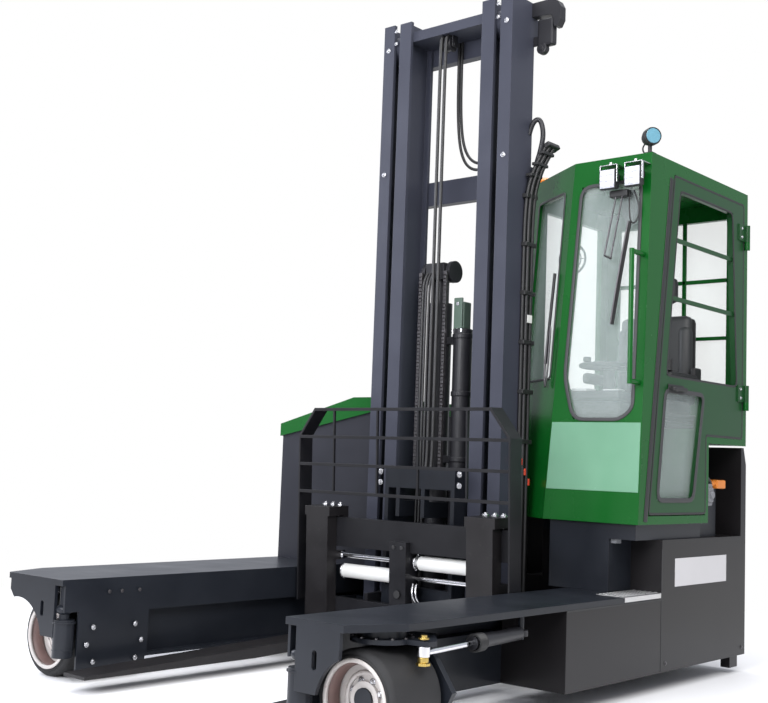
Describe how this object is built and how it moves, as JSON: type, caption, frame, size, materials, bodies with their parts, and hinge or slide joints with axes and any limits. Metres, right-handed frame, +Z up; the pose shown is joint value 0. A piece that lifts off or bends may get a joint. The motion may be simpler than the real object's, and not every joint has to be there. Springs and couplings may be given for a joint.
{
  "type": "multidirectional reach-mast forklift",
  "caption": "Four-way forklift with two deck arms, turning wheels, reaching mast, spreading forks and a side cab.",
  "frame": {"origin": "on the ground, in the middle of the truck's width and of its length from the fork tips to the rear wall", "axes": "+X towards the cab side, -Y the way the forks point, +Z up"},
  "size_m": [2.394, 3.0781, 3.439],
  "materials": {
    "frame_paint": "satin",
    "mast_paint": "satin",
    "side_black": "gloss",
    "cab_green": "gloss",
    "tyre": "matt",
    "rim_paint": "satin",
    "chrome_rod": "polished",
    "barrel_white": "satin",
    "cylinder_black": "satin",
    "fork_steel": "worn",
    "battery_case": "matt",
    "seat_cover": "woven",
    "trim_black": "matt",
    "tread_plate": "patterned",
    "clear_glass": "clear",
    "lamp_glass": "clear",
    "amber": "clear"
  },
  "bodies": {
    "chassis": {"near_arm": "frame_paint", "far_arm": "frame_paint", "near_side_box": "side_black", "far_side_box": "side_black", "rear_frame": "side_black", "battery": "battery_case", "hood_body": "mast_paint", "cab_shell": "cab_green", "cab_glass": "clear_glass", "cab_pedestal": "frame_paint", "driver_seat": "seat_cover", "cab_console": "trim_black", "tread_step": "tread_plate", "lamps": "lamp_glass", "beacon": "amber", "grab_rail": "cab_green"},
    "hood_cover": {"hood_lid": "cab_green"},
    "door": {"cab_door": "cab_green", "door_glass": "clear_glass"},
    "near_wheel_mount": {"near_knuckle": "frame_paint"},
    "near_wheel": {"near_tyre": "tyre", "near_rim": "rim_paint"},
    "far_wheel_mount": {"far_knuckle": "frame_paint"},
    "far_wheel": {"far_tyre": "tyre", "far_rim": "rim_paint"},
    "near_cylinder": {"near_steer_barrel": "cylinder_black"},
    "near_ram": {"near_steer_rod": "chrome_rod"},
    "far_cylinder": {"far_steer_barrel": "cylinder_black"},
    "far_ram": {"far_steer_rod": "chrome_rod"},
    "drive_mount": {"rear_turntable": "frame_paint"},
    "drive_wheel": {"rear_tyre": "tyre", "rear_rim": "rim_paint"},
    "reach_carriage": {"reach_frame": "frame_paint", "outer_mast": "mast_paint"},
    "inner_stage": {"inner_mast": "mast_paint", "ram_barrel": "cylinder_black"},
    "lift_ram": {"ram_head": "cylinder_black"},
    "lift_frame": {"lift_carriage": "frame_paint"},
    "tilt_frame": {"fork_beam": "frame_paint", "load_guard": "frame_paint", "spread_barrels": "barrel_white"},
    "near_fork_body": {"near_fork": "fork_steel", "near_spread_rod": "chrome_rod"},
    "far_fork_body": {"far_fork": "fork_steel", "far_spread_rod": "chrome_rod"}
  },
  "joints": [
    {"name": "near_steer", "type": "hinge", "parent": "chassis", "child": "near_wheel_mount", "pos_m": [1.002, -1.253, 0.404], "axis": [0, 0, 1], "range_deg": [0, 90]},
    {"name": "near_spin", "type": "hinge", "parent": "near_wheel_mount", "child": "near_wheel", "pos_m": [1.002, -1.253, 0.185], "axis": [0, 1, 0], "continuous": true},
    {"name": "near_cylinder_swing", "type": "hinge", "parent": "chassis", "child": "near_cylinder", "pos_m": [1.086, -0.485, 0.361], "axis": [0, 0, 1], "range_deg": [-17.92, 0.5]},
    {"name": "near_rod_slide", "type": "slide", "parent": "near_cylinder", "child": "near_ram", "axis": [-0.1181, 0.993, 0], "range_m": [-0.002, 0.173]},
    {"name": "far_steer", "type": "hinge", "parent": "chassis", "child": "far_wheel_mount", "pos_m": [-0.906, -1.253, 0.404], "axis": [0, 0, 1], "range_deg": [-90, 0]},
    {"name": "far_spin", "type": "hinge", "parent": "far_wheel_mount", "child": "far_wheel", "pos_m": [-0.906, -1.253, 0.185], "axis": [0, 1, 0], "continuous": true},
    {"name": "far_cylinder_swing", "type": "hinge", "parent": "chassis", "child": "far_cylinder", "pos_m": [-0.998, -0.485, 0.361], "axis": [0, 0, 1], "range_deg": [-0.5, 18.05]},
    {"name": "far_rod_slide", "type": "slide", "parent": "far_cylinder", "child": "far_ram", "axis": [0.1075, 0.9942, 0], "range_m": [-0.002, 0.171]},
    {"name": "drive_steer", "type": "hinge", "parent": "chassis", "child": "drive_mount", "pos_m": [-0.02, 1.195, 0.42], "axis": [0, 0, 1], "range_deg": [-165, 15]},
    {"name": "drive_spin", "type": "hinge", "parent": "drive_mount", "child": "drive_wheel", "pos_m": [-0.02, 1.195, 0.185], "axis": [0, 1, 0], "continuous": true},
    {"name": "mast_reach", "type": "slide", "parent": "chassis", "child": "reach_carriage", "axis": [0, -1, 0], "range_m": [0, 1.15]},
    {"name": "mast_lift", "type": "slide", "parent": "reach_carriage", "child": "inner_stage", "axis": [0, 0, 1], "range_m": [0, 2.3]},
    {"name": "carriage_lift", "type": "slide", "parent": "inner_stage", "child": "lift_frame", "axis": [0, 0, 1], "range_m": [0, 2.25]},
    {"name": "ram_lift", "type": "slide", "parent": "inner_stage", "child": "lift_ram", "axis": [0, 0, 1], "range_m": [0, 1.125]},
    {"name": "carriage_tilt", "type": "hinge", "parent": "lift_frame", "child": "tilt_frame", "pos_m": [0.044, 0.145, 0.33], "axis": [1, 0, 0], "range_deg": [-6, 1]},
    {"name": "near_fork_spread", "type": "slide", "parent": "tilt_frame", "child": "near_fork_body", "axis": [-1, 0, 0], "range_m": [0, 0.3]},
    {"name": "far_fork_spread", "type": "slide", "parent": "tilt_frame", "child": "far_fork_body", "axis": [1, 0, 0], "range_m": [0, 0.3]},
    {"name": "door_hinge", "type": "hinge", "parent": "chassis", "child": "door", "pos_m": [1.154, 1.504, 1.8], "axis": [0, 0, 1], "range_deg": [0, 95]},
    {"name": "hood_hinge", "type": "hinge", "parent": "chassis", "child": "hood_cover", "pos_m": [-0.75, 1.545, 1.165], "axis": [-1, 0, 0], "range_deg": [0, 55]}
  ],
  "couplings": [
    {"joint": "near_cylinder_swing", "follows": "near_steer", "ratio": -0.1936},
    {"joint": "near_rod_slide", "follows": "near_steer", "m_per_rad": 0.10886},
    {"joint": "far_cylinder_swing", "follows": "far_steer", "ratio": -0.195},
    {"joint": "far_rod_slide", "follows": "far_steer", "m_per_rad": -0.10759},
    {"joint": "ram_lift", "follows": "carriage_lift", "ratio": 0.5}
  ]
}
